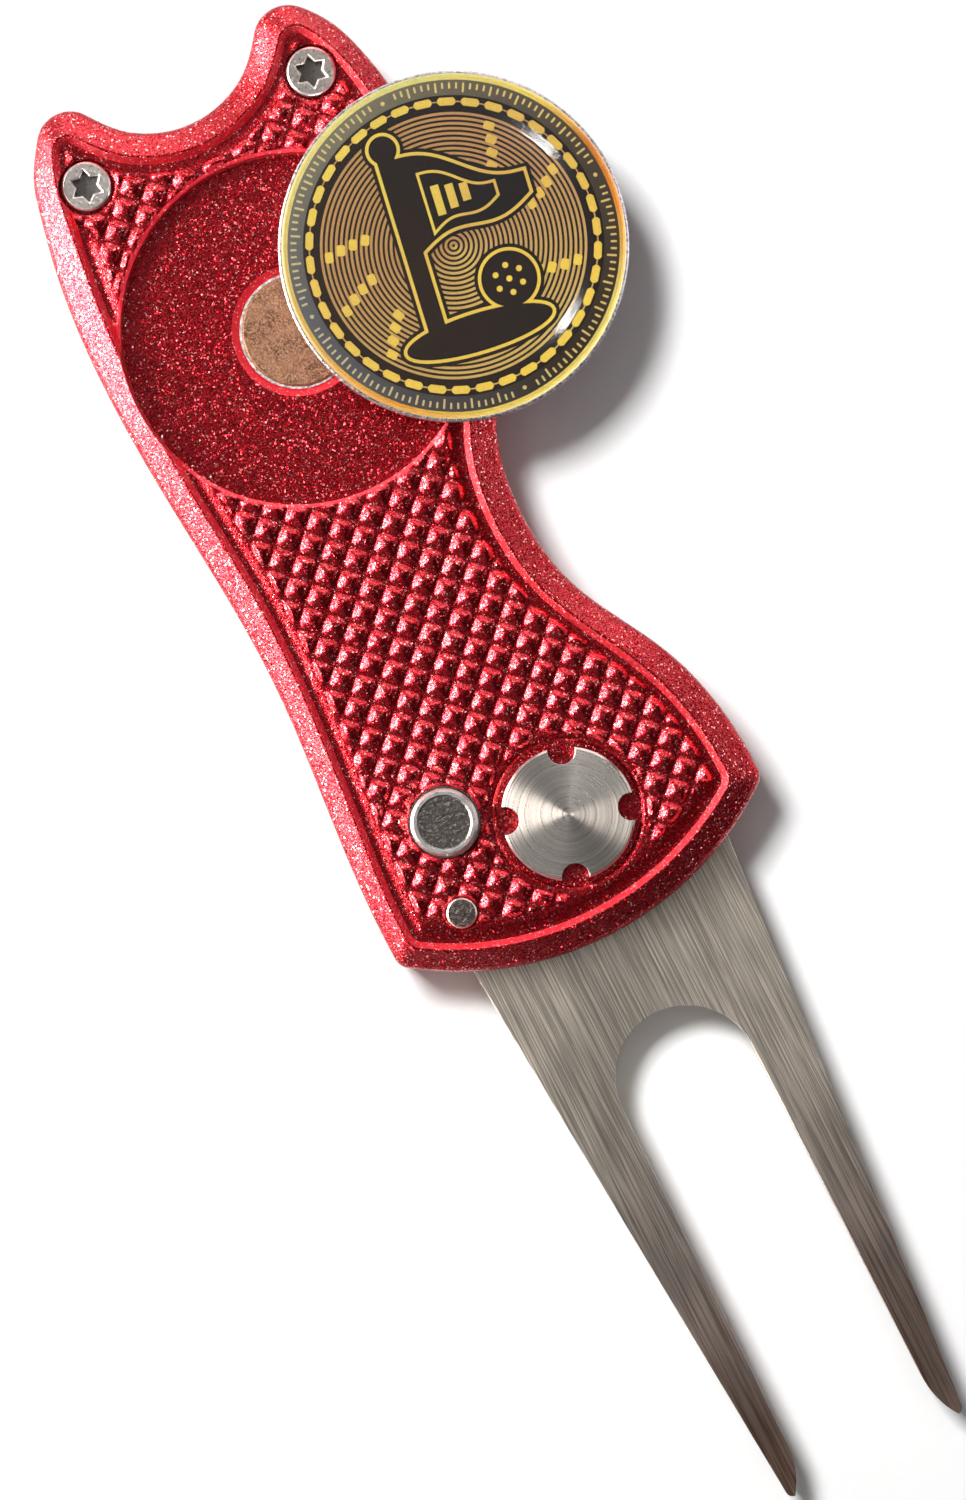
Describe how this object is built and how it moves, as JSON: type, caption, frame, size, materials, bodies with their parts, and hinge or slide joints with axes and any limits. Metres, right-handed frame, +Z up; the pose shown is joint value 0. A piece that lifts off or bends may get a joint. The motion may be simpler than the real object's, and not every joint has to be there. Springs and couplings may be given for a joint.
{
  "type": "folding divot repair tool",
  "caption": "pocket divot repair tool: a two-prong fork folds into a red handle with a grip panel, release button and a magnetic ball marker",
  "frame": {"origin": "on the fork's pivot axis, in the plane that the tool rests on with its back down", "axes": "+Z up out of the handle's front face, +Y from the pivot towards the handle's head, the open fork points along -Y, +X to the right seen from the front"},
  "size_m": [0.0394, 0.1127, 0.0109],
  "materials": {
    "handle_red": "metallic satin",
    "fork_steel": "brushed lengthwise",
    "turned_steel": "turned",
    "washer_brass": "satin",
    "spring_steel": "drawn",
    "button_steel": "scuffed satin",
    "screw_steel": "satin",
    "magnet": "fine matt grain",
    "glue": "ragged dry glue",
    "marker_steel": "gold-coloured plating",
    "marker_print": "printed foil",
    "marker_dome": "clear poured resin"
  },
  "bodies": {
    "handle": {"front_shell": "handle_red", "back_shell": "handle_red", "pivot_disc": "turned_steel", "pivot_barrel": "turned_steel", "pivot_washer": "washer_brass", "torsion_spring": "spring_steel", "button_spring": "spring_steel", "stop_pin": "button_steel", "shell_screw_left": "screw_steel", "shell_screw_right": "screw_steel", "marker_magnet": "magnet", "magnet_glue": "glue"},
    "fork": {"fork": "fork_steel"},
    "button": {"release_button": "button_steel"},
    "marker": {"marker_blank": "marker_steel", "marker_print": "marker_print", "marker_dome": "marker_dome"}
  },
  "joints": [
    {"name": "fork_fold", "type": "hinge", "parent": "handle", "child": "fork", "pos_m": [0, 0, 0.0042], "axis": [0, 0, 1], "range_deg": [0, 188], "stiffness_Nm_per_rad": 0.004, "springref_deg": -45.84, "deforming": ["torsion_spring"]},
    {"name": "button_press", "type": "slide", "parent": "handle", "child": "button", "axis": [0, 0, -1], "range_m": [0, 0.0012], "stiffness_N_per_m": 400, "springref_m": -0.002, "deforming": ["button_spring"]},
    {"name": "marker_lift", "type": "slide", "parent": "handle", "child": "marker", "axis": [0, 0, 1], "range_m": [0, 0.02]}
  ]
}
